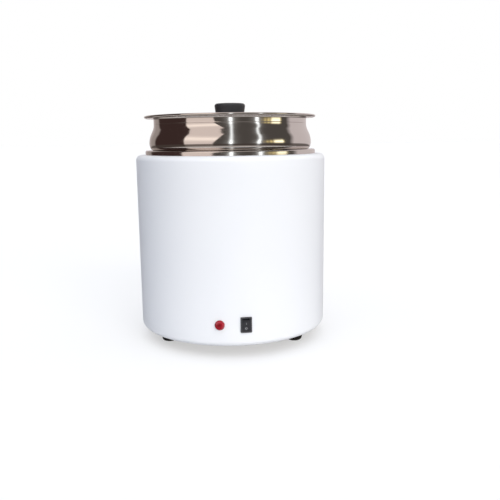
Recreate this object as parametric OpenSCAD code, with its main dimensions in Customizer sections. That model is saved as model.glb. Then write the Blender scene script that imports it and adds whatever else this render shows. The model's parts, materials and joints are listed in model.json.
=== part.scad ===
// Round electric soup warmer. A white casing on three rubber feet holds a steel water well with
// its heater underneath. A steel food pot hangs in the well by its bead, and a lid closes the pot.
// Millimetres. The origin is on the floor under the axis, +Z is up and the controls face -Y.

/* [Casing] */
// Outer diameter of the casing
body_d = 272; // [256:1:300]
// Height of the casing from its bottom lip to its shoulder
body_h = 248.5; // [225:0.5:265]
// Sheet thickness of the casing
shell_t = 1.5; // [1:0.1:2]
// Outer radius of the shoulder edge
top_edge_r = 7.5; // [4:0.5:9]
// Outer radius of the bottom edge
bottom_edge_r = 8; // [4:0.5:10]
// Width of the flat lip turned in under the casing
lip_w = 12; // [11:0.5:16]
// Width of the shoulder outside the steel collar
shoulder_w = 13.6; // [11:0.2:18]

/* [Base and feet] */
// Thickness of the base plate
base_t = 1.5; // [1:0.1:3]
// Distance from the casing's flat lip edge in to the rim of the base plate
base_inset = 3; // [1:0.5:5]
// Screws that hold the base plate
base_screw_count = 6; // [3:1:8]
// Thread diameter of a base screw
base_screw_d = 3.5; // [3:0.1:4]
// Length of a base screw under its head
base_screw_l = 9.5; // [6:0.5:14]
// Height of a rubber foot
foot_h = 15; // [10:0.5:22]
// Diameter of a foot where it meets the base plate
foot_top_d = 26; // [22:0.5:30]
// Diameter of a foot where it meets the floor
foot_tread_d = 22; // [18:0.5:26]
// Distance from the rim of the base plate in to a foot
foot_edge = 8; // [4:0.5:14]
// Depth of the screw recess in a foot
foot_recess_h = 9; // [5:0.5:11]
// Thread diameter of a foot screw
foot_screw_d = 4; // [3:0.5:5]
// Vent holes in the base plate
vent_count = 10; // [4:1:14]
// Diameter of a vent hole
vent_d = 7; // [4:0.5:9]
// Radius of the ring of vent holes
vent_ring_r = 40; // [30:1:44]

/* [Water well] */
// Sheet thickness of the well
well_t = 1; // [0.6:0.1:1.4]
// Height of the collar above the shoulder
collar_h = 6.2; // [5:0.2:10]
// Outer radius of the collar's top edge
collar_edge_r = 2; // [1.6:0.1:3]
// Width of the collar outside the pot's bead
collar_ledge = 6; // [4:0.1:8]
// Radius where the collar turns down into the well
well_lip_r = 2; // [1.6:0.1:2.4]
// Radius between the wall and the floor of the well
well_corner_r = 16; // [8:1:24]
// Height of the wiring space under the well
service_h = 74; // [68:1:90]
// Width of the gasket under the collar
gasket_w = 7; // [4:0.5:8]
// Hold-down clips under the shoulder
clip_count = 3; // [3:1:6]
// Height of a hold-down clip
clip_h = 22; // [16:1:28]
// Length of a clip's arm under the shoulder
clip_arm = 19; // [12:0.5:20]
// Sheet thickness of a clip
clip_t = 1.5; // [1:0.1:2]
// Width of a clip as an angle about the axis
clip_angle = 11; // [8:1:16]
// Thickness of the insulation sleeve
sleeve_t = 12; // [6:1:14]

/* [Food pot] */
// Sheet thickness of the pot
pot_t = 1; // [0.7:0.1:1.2]
// Gap between the pot and the well wall
well_gap = 3.4; // [2.5:0.1:4]
// Depth of water under the pot
water_gap = 20; // [12:1:30]
// Radius between the wall and the floor of the pot
pot_corner_r = 18; // [10:1:26]
// Step from the widest part of the bead in to the pot's wall
seat_w = 13.4; // [12.5:0.1:15]
// Fillet under the bead
seat_fillet_r = 3; // [2:0.2:3]
// Rounding of the bead outside its seat
bead_swell = 5; // [4:0.1:6]
// Height of the widest part of the bead above its seat
bead_low = 9.7; // [7:0.1:14]
// Bend radius of the curve above the bead
bead_bend_r = 30; // [20:0.5:34]
// Bend radius of the curve under the neck
neck_bend_r = 19.4; // [12:0.2:24]
// Slope between the two bends, from the upright
bead_slope = 24; // [20:1:26]
// Depth of the whole curve, from the bead in to the neck
bead_proud = 7; // [6:0.1:9]
// Height of the neck, from the curve to the underside of the rim
neck_h = 8.4; // [6:0.2:12]
// Radius between the neck and the rim
flare_r = 2.4; // [1.6:0.1:3]
// Width of the flat ledge that carries the lid
ledge_w = 5; // [4:0.2:6]
// Width of the rim outside the neck
rim_w = 13.4; // [12:0.2:17]
// Rise of the rim from its ledge to its rolled edge
rim_rise = 1.4; // [0.6:0.1:2]
// Diameter of the rolled edge
roll_d = 3; // [2.6:0.1:4]

/* [Lid] */
// Sheet thickness of the lid
lid_t = 0.8; // [0.6:0.1:1]
// Clearance between the lid and the pot, round the drop and round the edge
lid_gap = 0.7; // [0.5:0.1:1]
// Depth of the lid's drop into the neck
lid_drop = 6; // [4.5:0.5:9]
// Bend radius of the lid's edge
lid_bend_r = 1.6; // [1.2:0.1:2]
// Rise of the lid's dome
dome_h = 5; // [4:0.5:9]
// Diameter of the knob's grip
knob_d = 44; // [36:0.5:50]
// Height of the knob
knob_h = 20; // [16:0.2:26]
// Diameter of the knob's base
knob_base_d = 22; // [18:0.5:28]
// Height of the straight part of the knob's base
knob_base_h = 2; // [1:0.2:3]
// Height of the grip's lower edge above the lid
grip_low = 7; // [5:0.2:9]
// Inward slope of the grip's side, top to bottom
grip_draft = 1.6; // [0.5:0.1:4]
// Rounding of the grip's top edge
grip_edge_r = 3.4; // [2:0.2:5]
// Thread diameter of the knob screw
knob_screw_d = 5; // [4:0.5:6]
// Length of the knob screw inside the knob
knob_screw_l = 11; // [7:0.5:13]

/* [Heater] */
// Diameter of the element tube
tube_d = 8; // [6:0.5:9]
// Distance from the flat floor of the well in to the element ring
ring_inset = 25; // [18:1:30]
// Half of the gap between the ends of the ring, as an angle
ring_gap = 18; // [14:1:24]
// Bend radius of the element's ends
end_bend_r = 8; // [6.5:0.5:9]
// Straight length of the element's ends
end_l = 10; // [6:0.5:12]
// Length of a terminal's ceramic bush
bush_l = 6; // [4:0.5:7]
// Length of a terminal's pin
pin_l = 7; // [5:0.5:8]
// Width of the clamp bar
bar_w = 20; // [16:0.5:24]
// Thickness of the clamp bar
bar_t = 2; // [1.5:0.1:3]
// Thread diameter of the clamp stud
stud_d = 6; // [5:0.5:8]
// Thermostat body diameter
stat_d = 16; // [14:0.5:18]
// Thermostat body height
stat_h = 10; // [8:0.5:12]

/* [Switch and lamp] */
// Height of the controls above the casing's bottom
panel_h = 30.5; // [26:0.5:40]
// Distance between the lamp and the switch
panel_gap = 34.6; // [30:0.2:44]
// Width of the switch bezel
bezel_w = 15; // [14:0.2:18]
// Height of the switch bezel
bezel_h = 21; // [20:0.2:26]
// Thickness of the switch bezel
bezel_t = 2; // [1.4:0.1:2.4]
// Overhang of the bezel round the switch body
bezel_over = 1; // [0.8:0.1:1.2]
// Side wall of the switch body
switch_wall = 1.2; // [1:0.1:1.4]
// Depth of the switch body behind the bezel
switch_depth = 20; // [16:0.5:24]
// Tilt of the rocker each way
rocker_tilt = 11; // [8:0.5:12]
// Slope of each half of the rocker's face, from its middle line up to its end
rocker_dish = 6; // [3:0.5:8]
// Depth of the rocker's pivot behind the casing's face
pivot_depth = 3; // [2.6:0.1:3.6]
// Diameter of the rocker's pivot pins
pivot_d = 2.8; // [2.2:0.1:3]
// Diameter of the lamp lens
lens_d = 13.2; // [12:0.1:16]
// Height of the lamp lens
lens_h = 6; // [4:0.2:8]
// Diameter of the lamp holder
holder_d = 10; // [9:0.1:10.5]
// Length of the lamp holder behind the casing's face
holder_l = 24; // [18:0.5:28]
// Diameter of the neon bulb
bulb_d = 5; // [4:0.1:5.5]

/* [Mains entry] */
// Bore of the cord gland
gland_bore_d = 8.2; // [6:0.1:9]
// Diameter of the gland's barrel
gland_d = 15.6; // [14:0.1:18]
// Diameter of the gland's head
gland_head_d = 21; // [19:0.2:26]
// Height of the gland's head
gland_head_h = 4.9; // [3:0.1:8]
// Length of the gland's barrel inside the casing
gland_l = 13; // [10:0.5:18]
// Length of the terminal block
block_w = 40; // [36:1:44]
// Depth of the terminal block
block_d = 20; // [16:0.5:24]
// Height of the terminal block
block_h = 17; // [14:0.5:20]
// Thread diameter of the block screws and the earth stud
block_screw_d = 4; // [3:0.5:4]
// Diameter of the mains wires
wire_d = 3; // [2:0.1:3.4]
// Diameter of the lamp leads
lead_d = 1.8; // [1.2:0.1:2.2]

/* [Hidden] */
$fn = 96;

// Clearances
fit = 0.1; // between a screw and its hole, or a pressed part and its seat
slack = 0.3; // between a round part and the sheet behind it
pivot_fit = 0.06; // radial, between the rocker's pins and their bores
rocker_gap = 0.25; // between the rocker and its frame
thread_out = 2; // thread that shows past a nut
pan_head = 0.65; // height of a screw head, as a share of its thread
low_head = 0.28; // the same for the base screws

// Casing
shell_r = body_d / 2;
wall_cut = 20; // length of a cutter through the casing's wall
wall_sag = 0.4; // how far the curved casing falls away behind a flat nut
z_shell = foot_h + base_t;
z_top = z_shell + body_h;
lip_in_r = shell_r - bottom_edge_r - lip_w;
base_r = shell_r - bottom_edge_r - base_inset;
base_screw_ring_r = (lip_in_r + base_r) / 2;
foot_ring_r = base_r - foot_top_d / 2 - foot_edge;
foot_recess_r = foot_screw_d * 1.35;
foot_chamfer = 1;
foot_nut_h = foot_screw_d * 0.8;
foot_turn = -2.5; // turn of the three feet about the axis
foot_angles = [foot_turn - 60, foot_turn + 60, foot_turn + 180];
rear_angle = 180;

// Well, pot and lid, from the collar inwards
collar_r = shell_r - shoulder_w;
bead_r = collar_r - collar_ledge;
neck_r = bead_r - bead_proud;
pot_r = bead_r - seat_w;
well_r = pot_r + well_gap;
well_out_r = well_r + well_t;
hole_gap = 3;
hole_r = well_out_r + hole_gap;
clip_start_angle = 30;
sleeve_gap = 1;
z_seat = z_top + collar_h;
z_well_out = z_shell + service_h;
z_well_in = z_well_out + well_t;
z_pot = z_well_in + water_gap;
z_bead = z_seat + bead_low;
bends_r = bead_bend_r + neck_bend_r;
slope_w = bead_proud - bends_r * (1 - cos(bead_slope));
z_neck = z_bead + bends_r * sin(bead_slope) + slope_w / tan(bead_slope);
z_rim = z_neck + neck_h;
roll_r = roll_d / 2;
rim_r = neck_r + rim_w;
ledge_in_r = neck_r + flare_r;
ledge_out_r = ledge_in_r + ledge_w;
z_ledge = z_rim + pot_t;
lid_r = ledge_out_r - lid_gap;
lid_drop_r = neck_r - pot_t - lid_gap - lid_t;
dome_r = lid_drop_r - lid_bend_r;
z_lid = z_ledge + lid_t;
z_dome = z_lid - lid_drop;
z_knob = z_dome + dome_h;
knob_r = knob_d / 2;
pad_r = knob_base_d / 2 + 1; // flat of the lid under the knob
knob_hole_r = knob_screw_d / 2 + 2 * fit;
washer_r = knob_screw_d * 1.3;
washer_t = 1;
knob_crown = 0.4;
knob_bore_l = knob_screw_l + 1;

// Heater
floor_r = well_r - well_corner_r;
ring_r = floor_r - ring_inset;
tube_r = tube_d / 2;
end_r = tube_r - 0.4; // the cold ends are a little thinner than the ring
end_overlap = 3; // and run this far into it
z_tube = z_well_out - 2 * fit - tube_r;
z_bar = z_tube - tube_r - 2 * fit - bar_t;
stud_nut_h = stud_d * 0.85;
stud_l = z_well_out - z_bar + stud_nut_h + stud_d;
stat_r = (bar_w / 2 + ring_r - tube_r) / 2; // midway between the clamp bar and the ring
stat_cap_h = 1.5;
stat_groove_h = 0.9;
stat_groove = 1; // depth of the groove
stat_bracket_t = 0.8;
stat_bracket_w = stat_d;
stat_stud_d = 3;
stat_stud_gap = stat_d / 2 + stat_stud_d + 1;
stat_nut_h = 2.4;
z_stat_body = z_well_out - stat_cap_h - stat_groove_h;
z_stat = z_well_out - stat_h;
tab_w = 4.8;
tab_t = 0.8;
tab_l = 8;
tab_gap = stat_d / 4;
end_side = (sin(ring_gap) * ring_r - cos(ring_gap) * end_bend_r);
end_back = (cos(ring_gap) * ring_r + sin(ring_gap) * end_bend_r);
z_end = z_tube - end_bend_r - end_l;
z_pin = z_end - bush_l - pin_l;

// Controls
z_panel = z_shell + panel_h;
panel_turn = asin(panel_gap / 2 / shell_r);
switch_w = bezel_w - 2 * bezel_over;
switch_h = bezel_h - 2 * bezel_over;
cavity_w = switch_w - 2 * switch_wall;
switch_end_wall = 0.9;
cavity_h = switch_h - 2 * switch_end_wall;
cavity_depth = 3 * pivot_depth;
pivot_skin = 0.2; // plastic left outside the blind pivot bores
snap_w = 4;
snap_l = 6;
rocker_w = cavity_w - 2 * rocker_gap;
rocker_sink = 0.5; // depth of the rocker's middle line below the bezel's face
rocker_crown = bezel_t + pivot_depth - rocker_sink;
rocker_half = (cavity_h / 2 - rocker_gap - rocker_crown * sin(rocker_tilt))
    / (cos(rocker_tilt) + tan(rocker_dish) * sin(rocker_tilt));
rocker_end = rocker_crown + rocker_half * tan(rocker_dish);
rocker_hub_r = pivot_d * 0.8;
rocker_edge = 3; // thickness of the rocker at its ends
pin_reach = switch_wall - slack;
switch_tab_gap = switch_h / 4;
holder_r = holder_d / 2;
holder_wall = 1;
holder_floor = 2;
lens_flange_h = 1.2;
lens_edge = 0.6;
lens_spigot = 5;
lamp_nut_h = 3;
gland_nut_h = 4;
gland_chamfer = 2;

// Mains entry on the base plate
block_x = base_r * 0.36;
block_y = base_r * 0.5;
block_poles = 4;
block_end = 2; // solid end beyond the outer poles
pole_pitch = (block_w - 2 * block_end) / block_poles;
pole_h = block_h * 0.6;
pole_d = wire_d + 1;
block_screw_l = block_h - block_screw_d; // up to the counterbore
earth_x = -block_x;
earth_y = block_y;
earth_h = block_h * 0.8;

// Colours
white = "white";
steel = "silver";
bright = "gainsboro";
black = "#222222";
red = "crimson";

// Points of an arc from one angle to another
function arc(centre, r, from, to, steps) =
    [for (i = [0:steps]) let (a = from + (to - from) * i / steps) centre + r * [cos(a), sin(a)]];

function unit(v) = v / norm(v);
function distinct(p) = [for (i = [0:len(p) - 1]) if (i == 0 || norm(p[i] - p[i - 1]) > 0.001) p[i]];
function backwards(p) = [for (i = [len(p) - 1:-1:0]) p[i]];

// A path moved sideways to its left by a sheet's thickness
function left_side(p, t) = [
    for (i = [0:len(p) - 1])
        let (a = i > 0 ? unit(p[i] - p[i - 1]) : unit(p[1] - p[0]))
        let (b = i < len(p) - 1 ? unit(p[i + 1] - p[i]) : a)
        let (m = unit(a + b))
        p[i] + t / (m * a) * [-m[1], m[0]]
];

// Section of a sheet that lies to the left of a path of [radius, height] points
module sheet_section(path, t) {
    p = distinct(path);
    polygon(concat(p, backwards(left_side(p, t))));
}

// A place on the floor plan, at an angle from the front and a distance from the axis
module at_plan(angle, r, z) {
    rotate([0, 0, angle]) translate([0, -r, z]) children();
}

// A place on the casing's face: x to the side, y up and z outwards
module at_face(angle) {
    at_plan(angle, shell_r, z_panel) rotate([90, 0, 0]) children();
}

// The same place as a point
function face_point(angle, x, y, n) = [
    (shell_r + n) * sin(angle) + x * cos(angle),
    x * sin(angle) - (shell_r + n) * cos(angle),
    z_panel + y
];

module rounded_plate(w, h, r) {
    square([w - 2 * r, h], center = true);
    square([w, h - 2 * r], center = true);
    for (x = [-1, 1], y = [-1, 1])
        translate([x * (w / 2 - r), y * (h / 2 - r)]) circle(r);
}

// Cutter for a round hole through a plate that lies on z = 0
module hole(d, plate) {
    translate([0, 0, -1]) cylinder(d = d, h = plate + 2);
}

module hex_nut(thread, height, over) {
    difference() {
        cylinder(d = over, h = height, $fn = 6);
        hole(thread + 2 * fit, height);
    }
}

// A screw with its head below z = 0 and its shank above
module screw_up(thread, shank, head = pan_head) {
    head_h = thread * head;
    cylinder(d = thread, h = shank);
    translate([0, 0, -head_h]) cylinder(d = thread * 2, h = head_h);
}

// Casing

shell_path = concat(
    [[lip_in_r, z_shell]],
    arc([shell_r - bottom_edge_r, z_shell + bottom_edge_r], bottom_edge_r, -90, 0, 8),
    arc([shell_r - top_edge_r, z_top - top_edge_r], top_edge_r, 0, 90, 8),
    [[hole_r, z_top]]
);

module outer_shell() {
    color(white) difference() {
        rotate_extrude() sheet_section(shell_path, shell_t);
        at_face(panel_turn) cube([switch_w + 2 * slack, switch_h + 2 * slack, wall_cut], center = true);
        at_face(-panel_turn) cylinder(d = holder_d + 2 * slack, h = wall_cut, center = true);
        at_face(rear_angle) cylinder(d = gland_d + 2 * slack, h = wall_cut, center = true);
        for (i = [0:base_screw_count - 1])
            at_plan((i + 0.5) * 360 / base_screw_count, base_screw_ring_r, z_shell)
                hole(base_screw_d + 2 * fit, shell_t);
    }
}

module base_plate() {
    color(steel) difference() {
        translate([0, 0, foot_h]) cylinder(r = base_r, h = base_t);
        for (i = [0:base_screw_count - 1])
            at_plan((i + 0.5) * 360 / base_screw_count, base_screw_ring_r, foot_h)
                hole(base_screw_d + 4 * fit, base_t);
        for (angle = foot_angles)
            at_plan(angle, foot_ring_r, foot_h) hole(foot_screw_d + 4 * fit, base_t);
        for (i = [0:vent_count - 1])
            at_plan(i * 360 / vent_count, vent_ring_r, foot_h) hole(vent_d, base_t);
        for (x = [-1, 1])
            translate([block_x + x * pole_pitch, block_y, foot_h]) hole(block_screw_d + 2 * fit, base_t);
        translate([earth_x, earth_y, foot_h]) hole(block_screw_d + 2 * fit, base_t);
    }
}

module base_screws() {
    color(steel)
        for (i = [0:base_screw_count - 1])
            at_plan((i + 0.5) * 360 / base_screw_count, base_screw_ring_r, foot_h)
                screw_up(base_screw_d, base_screw_l, low_head);
}

module foot(angle) {
    bore_r = foot_screw_d / 2 + 2 * fit;
    color(black) at_plan(angle, foot_ring_r, 0)
        rotate_extrude() polygon([
            [foot_recess_r, 0],
            [foot_tread_d / 2 - foot_chamfer, 0],
            [foot_tread_d / 2, foot_chamfer],
            [foot_top_d / 2, foot_h],
            [bore_r, foot_h],
            [bore_r, foot_recess_h],
            [foot_recess_r, foot_recess_h]
        ]);
}

module foot_front_left() { foot(foot_angles[0]); }
module foot_front_right() { foot(foot_angles[1]); }
module foot_rear() { foot(foot_angles[2]); }

module foot_screws() {
    shank = foot_h - foot_recess_h + base_t + foot_nut_h + thread_out;
    color(steel)
        for (angle = foot_angles)
            at_plan(angle, foot_ring_r, foot_recess_h) screw_up(foot_screw_d, shank);
}

module foot_nuts() {
    color(steel)
        for (angle = foot_angles)
            at_plan(angle, foot_ring_r, z_shell) hex_nut(foot_screw_d, foot_nut_h, foot_screw_d * 2);
}

// Water well

well_path = concat(
    [[collar_r, z_top]],
    arc([collar_r - collar_edge_r, z_seat - collar_edge_r], collar_edge_r, 0, 90, 6),
    arc([well_r + well_lip_r, z_seat - well_lip_r], well_lip_r, 90, 180, 6),
    arc([floor_r, z_well_in + well_corner_r], well_corner_r, 0, -90, 10),
    [[0, z_well_in]]
);

module water_well() {
    color(bright) rotate_extrude() sheet_section(well_path, well_t);
}

module well_gasket() {
    color(black) rotate_extrude()
        translate([collar_r - collar_edge_r - slack - gasket_w, z_top])
            square([gasket_w, collar_h - well_t]);
}

module well_clips() {
    top = z_top - shell_t;
    inner = well_out_r + fit;
    color(steel)
        for (i = [0:clip_count - 1])
            rotate([0, 0, clip_start_angle + i * 360 / clip_count])
                rotate_extrude(angle = clip_angle) polygon([
                    [inner, top],
                    [inner, top - clip_h],
                    [inner + clip_t, top - clip_h],
                    [inner + clip_t, top - clip_t],
                    [inner + clip_arm, top - clip_t],
                    [inner + clip_arm, top]
                ]);
}

module insulation_sleeve() {
    bottom = z_well_in + well_corner_r;
    top = z_top - shell_t - clip_h - sleeve_gap;
    color("khaki") rotate_extrude()
        translate([well_out_r + slack, bottom]) square([sleeve_t, top - bottom]);
}

// Heater

module heating_element() {
    color("dimgray") {
        translate([0, 0, z_tube]) rotate([0, 0, 90 + ring_gap])
            rotate_extrude(angle = 360 - 2 * ring_gap) translate([ring_r, 0]) circle(tube_r);
        for (side = [-1, 1])
            rotate([0, 0, 90 + side * ring_gap]) translate([ring_r, 0, z_tube - end_bend_r])
                rotate([0, 0, side > 0 ? 180 : 0]) {
                    translate([0, 0, end_bend_r]) rotate([90, 0, 0]) cylinder(r = end_r, h = end_overlap);
                    rotate([0, 90, 0]) rotate([0, 0, 90]) rotate_extrude(angle = 90)
                        translate([end_bend_r, 0]) circle(end_r);
                    translate([0, end_bend_r, -end_l]) cylinder(r = end_r, h = end_l);
                }
    }
}

module element_terminals() {
    color("ivory")
        for (side = [-1, 1])
            translate([side * end_side, end_back, z_pin]) {
                translate([0, 0, pin_l]) cylinder(r = end_r - 0.6, h = bush_l);
                cylinder(r = end_r / 3, h = pin_l);
            }
}

module clamp_bar() {
    color(steel) translate([0, 0, z_bar]) difference() {
        translate([-ring_r - tube_d, -bar_w / 2, 0]) cube([2 * (ring_r + tube_d), bar_w, bar_t]);
        hole(stud_d + 4 * fit, bar_t);
    }
}

module clamp_stud() {
    color(steel) translate([0, 0, z_well_out - stud_l]) cylinder(d = stud_d, h = stud_l);
}

module clamp_nut() {
    color(steel) translate([0, 0, z_bar - stud_nut_h]) hex_nut(stud_d, stud_nut_h, stud_d * 1.9);
}

// Bimetal switch with its cap against the floor of the well and a groove for its bracket
module bimetal_switch(y) {
    color(black) translate([0, y, 0]) rotate_extrude() polygon([
        [0, z_stat],
        [stat_d / 2, z_stat],
        [stat_d / 2, z_stat_body],
        [stat_d / 2 - stat_groove, z_stat_body],
        [stat_d / 2 - stat_groove, z_well_out - stat_cap_h],
        [stat_d / 2, z_well_out - stat_cap_h],
        [stat_d / 2, z_well_out],
        [0, z_well_out]
    ]);
}

module thermostat() { bimetal_switch(-stat_r); }
module overheat_cutout() { bimetal_switch(stat_r); }

module stat_brackets() {
    half = stat_stud_gap + stat_stud_d;
    color(steel)
        for (y = [-stat_r, stat_r])
            translate([0, y, z_stat_body]) difference() {
                translate([-half, -stat_bracket_w / 2, 0]) cube([2 * half, stat_bracket_w, stat_bracket_t]);
                hole(stat_d - 2 * stat_groove + 2 * fit, stat_bracket_t);
                for (x = [-1, 1])
                    translate([x * stat_stud_gap, 0, 0]) hole(stat_stud_d + 2 * fit, stat_bracket_t);
            }
}

module stat_studs() {
    length = z_well_out - z_stat_body + stat_nut_h + thread_out;
    color(steel)
        for (y = [-stat_r, stat_r], x = [-stat_stud_gap, stat_stud_gap])
            translate([x, y, z_well_out - length]) cylinder(d = stat_stud_d, h = length);
}

module stat_nuts() {
    color(steel)
        for (y = [-stat_r, stat_r], x = [-stat_stud_gap, stat_stud_gap])
            translate([x, y, z_stat_body - stat_nut_h]) hex_nut(stat_stud_d, stat_nut_h, stat_stud_d * 2);
}

module stat_tabs() {
    color("gold")
        for (y = [-stat_r, stat_r], x = [-tab_gap, tab_gap])
            translate([x - tab_t / 2, y - tab_w / 2, z_stat - tab_l]) cube([tab_t, tab_w, tab_l]);
}

// Switch, shown OFF with its bottom end pressed in

module switch_housing() {
    color(black) at_face(panel_turn) difference() {
        union() {
            linear_extrude(bezel_t) rounded_plate(bezel_w, bezel_h, bezel_over);
            translate([-switch_w / 2, -switch_h / 2, -switch_depth])
                cube([switch_w, switch_h, switch_depth]);
            for (side = [-1, 1])
                scale([1, side, 1]) rotate([90, 0, 90])
                    linear_extrude(snap_w, center = true) polygon([
                        [switch_h / 2 - fit, -shell_t - wall_sag],
                        [switch_h / 2 + bezel_over - 2 * fit, -shell_t - wall_sag],
                        [switch_h / 2 - fit, -shell_t - wall_sag - snap_l]
                    ]);
        }
        translate([-cavity_w / 2, -cavity_h / 2, -cavity_depth])
            cube([cavity_w, cavity_h, cavity_depth + bezel_t + 1]);
        translate([0, 0, -pivot_depth]) rotate([0, 90, 0])
            cylinder(d = pivot_d + 2 * pivot_fit, h = switch_w - 2 * pivot_skin, center = true);
    }
}

module switch_rocker() {
    color(black) at_face(panel_turn) translate([0, 0, -pivot_depth]) rotate([rocker_tilt, 0, 0]) {
        rotate([90, 0, 90]) linear_extrude(rocker_w, center = true) union() {
            polygon([
                [-rocker_half, rocker_end],
                [0, rocker_crown],
                [rocker_half, rocker_end],
                [rocker_half, rocker_end - rocker_edge],
                [rocker_hub_r, 0],
                [-rocker_hub_r, 0],
                [-rocker_half, rocker_end - rocker_edge]
            ]);
            circle(rocker_hub_r);
        }
        rotate([0, 90, 0])
            cylinder(d = pivot_d, h = rocker_w + 2 * (rocker_gap + pin_reach), center = true);
    }
}

module switch_tabs() {
    color("gold") at_face(panel_turn)
        for (y = [-switch_tab_gap, switch_tab_gap])
            translate([-tab_w / 2, y - tab_t / 2, -switch_depth - tab_l]) cube([tab_w, tab_t, tab_l]);
}

// Pilot lamp

dome_base_r = lens_d / 2 - lens_edge;
lens_dome_h = lens_h - lens_flange_h;
lens_curve_r = (dome_base_r * dome_base_r + lens_dome_h * lens_dome_h) / (2 * lens_dome_h);
lens_span = asin(dome_base_r / lens_curve_r);
spigot_r = holder_r - holder_wall - fit;
spigot_in_r = bulb_d / 2 + slack + fit;
bulb_l = holder_l - holder_floor + lens_h * 0.1;

module lamp_lens() {
    color(red) at_face(-panel_turn) rotate_extrude() polygon(concat(
        [
            [0, lens_h * 0.6],
            [spigot_in_r, lens_h * 0.4],
            [spigot_in_r, -lens_spigot],
            [spigot_r, -lens_spigot],
            [spigot_r, 0],
            [lens_d / 2, 0],
            [lens_d / 2, lens_flange_h]
        ],
        arc([0, lens_h - lens_curve_r], lens_curve_r, 90 - lens_span, 90, 8)
    ));
}

module lamp_holder() {
    color(black) at_face(-panel_turn) rotate_extrude() polygon([
        [0, -holder_l],
        [holder_r, -holder_l],
        [holder_r, 0],
        [holder_r - holder_wall, 0],
        [holder_r - holder_wall, holder_floor - holder_l],
        [0, holder_floor - holder_l]
    ]);
}

module lamp_nut() {
    color(black) at_face(-panel_turn) translate([0, 0, -shell_t - wall_sag - lamp_nut_h])
        hex_nut(holder_d, lamp_nut_h, holder_d * 1.5);
}

module lamp_bulb() {
    color("orange") at_face(-panel_turn) translate([0, 0, holder_floor - holder_l]) {
        cylinder(d = bulb_d, h = bulb_l - bulb_d / 2);
        translate([0, 0, bulb_l - bulb_d / 2]) sphere(d = bulb_d);
    }
}

// Mains entry

module cord_gland() {
    bore_r = gland_bore_d / 2;
    head_r = gland_head_d / 2;
    color(black) at_face(rear_angle) rotate_extrude() polygon([
        [bore_r, -gland_l],
        [gland_d / 2, -gland_l],
        [gland_d / 2, 0],
        [head_r, 0],
        [head_r, gland_head_h - gland_chamfer],
        [head_r - gland_chamfer, gland_head_h],
        [bore_r, gland_head_h]
    ]);
}

module gland_nut() {
    color(black) at_face(rear_angle) translate([0, 0, -shell_t - 2 * wall_sag - gland_nut_h])
        hex_nut(gland_d, gland_nut_h, gland_d * 1.45);
}

function pole_x(i) = block_x + (i - (block_poles - 1) / 2) * pole_pitch;

module terminal_block() {
    color("ivory") translate([block_x, block_y, z_shell]) difference() {
        translate([-block_w / 2, -block_d / 2, 0]) cube([block_w, block_d, block_h]);
        for (i = [0:block_poles - 1])
            translate([pole_x(i) - block_x, 0, pole_h]) rotate([90, 0, 0])
                cylinder(d = pole_d, h = block_d + 2, center = true);
        for (x = [-1, 1])
            translate([x * pole_pitch, 0, 0]) {
                hole(block_screw_d + 2 * fit, block_h);
                translate([0, 0, block_screw_l]) cylinder(d = block_screw_d * 2 + 1, h = block_h);
            }
    }
}

module block_screws() {
    color(steel)
        for (x = [-1, 1])
            translate([block_x + x * pole_pitch, block_y, z_shell + block_screw_l])
                rotate([180, 0, 0]) screw_up(block_screw_d, block_screw_l + base_t);
}

module earth_stud() {
    color(steel) translate([earth_x, earth_y, foot_h]) screw_up(block_screw_d, earth_h);
}

module earth_nut() {
    color("gold") translate([earth_x, earth_y, z_shell])
        hex_nut(block_screw_d, block_screw_d * 0.8, block_screw_d * 2);
}

// Wires

// A curve through four points, from the second at t = 0 to the third at t = 1
function through(a, b, c, d, t) =
    0.5 * (2 * b + (c - a) * t + (2 * a - 5 * b + 4 * c - d) * t * t + (3 * b - a - 3 * c + d) * t * t * t);

function smooth(p, steps) = [
    for (i = [0:len(p) - 2])
        for (k = [0:steps - 1])
            through(p[max(i - 1, 0)], p[i], p[i + 1], p[min(i + 2, len(p) - 1)], k / steps),
    p[len(p) - 1]
];

module wire(points, d) {
    sides = 8;
    path = smooth(points, 4);
    last = len(path) - 1;
    ends = len(points) - 1;
    rings = [
        for (i = [0:last])
            let (along = unit(
                i == 0 ? points[1] - points[0]
                    : i == last ? points[ends] - points[ends - 1]
                    : path[i + 1] - path[i - 1]
            ))
            let (across = unit(cross(along, [1, 1, 1])))
            let (other = cross(along, across))
            for (k = [0:sides - 1])
                path[i] + d / 2 * (cos(k * 360 / sides) * across + sin(k * 360 / sides) * other)
    ];
    walls = [
        for (i = [0:last - 1], k = [0:sides - 1])
            let (n = (k + 1) % sides)
            for (f = [
                [i * sides + k, (i + 1) * sides + n, i * sides + n],
                [i * sides + k, (i + 1) * sides + k, (i + 1) * sides + n]
            ]) f
    ];
    caps = [
        [for (k = [0:sides - 1]) k],
        [for (k = [sides - 1:-1:0]) last * sides + k]
    ];
    polyhedron(points = rings, faces = concat(walls, caps));
}

// Wire ends: a pole of the block, a tab of a thermostat or the switch, a pin of the element
block_front = block_y - block_d / 2;
z_pole = z_shell + pole_h;
z_stat_tab = z_stat - tab_l - 2 * fit;
switch_tab_end = -switch_depth - tab_l - 2 * fit;
lamp_end = -holder_l - 2 * fit;
lead_gap = holder_d / 4;
pole_reach = 3; // length of a wire's end inside its pole
stub = 10; // straight stretch of a wire at each end

// A point in the wiring space, as shares of the base plate's radius and of the space's height
function inside(x, y, h) = [x * base_r, y * base_r, z_shell + h * service_h];
function pole_end(i, out) = [pole_x(i), block_front + pole_reach - out, z_pole];
function stat_end(side, back, down) = [side * tab_gap, back * stat_r, z_stat_tab - down];
function switch_end(up, inward) = face_point(panel_turn, 0, up * switch_tab_gap, switch_tab_end - inward);
function lamp_lead_end(side, inward) = face_point(-panel_turn, side * lead_gap, 0, lamp_end - inward);
function pin_end(side, down) = [side * end_side, end_back, z_pin - 2 * fit - down];

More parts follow.
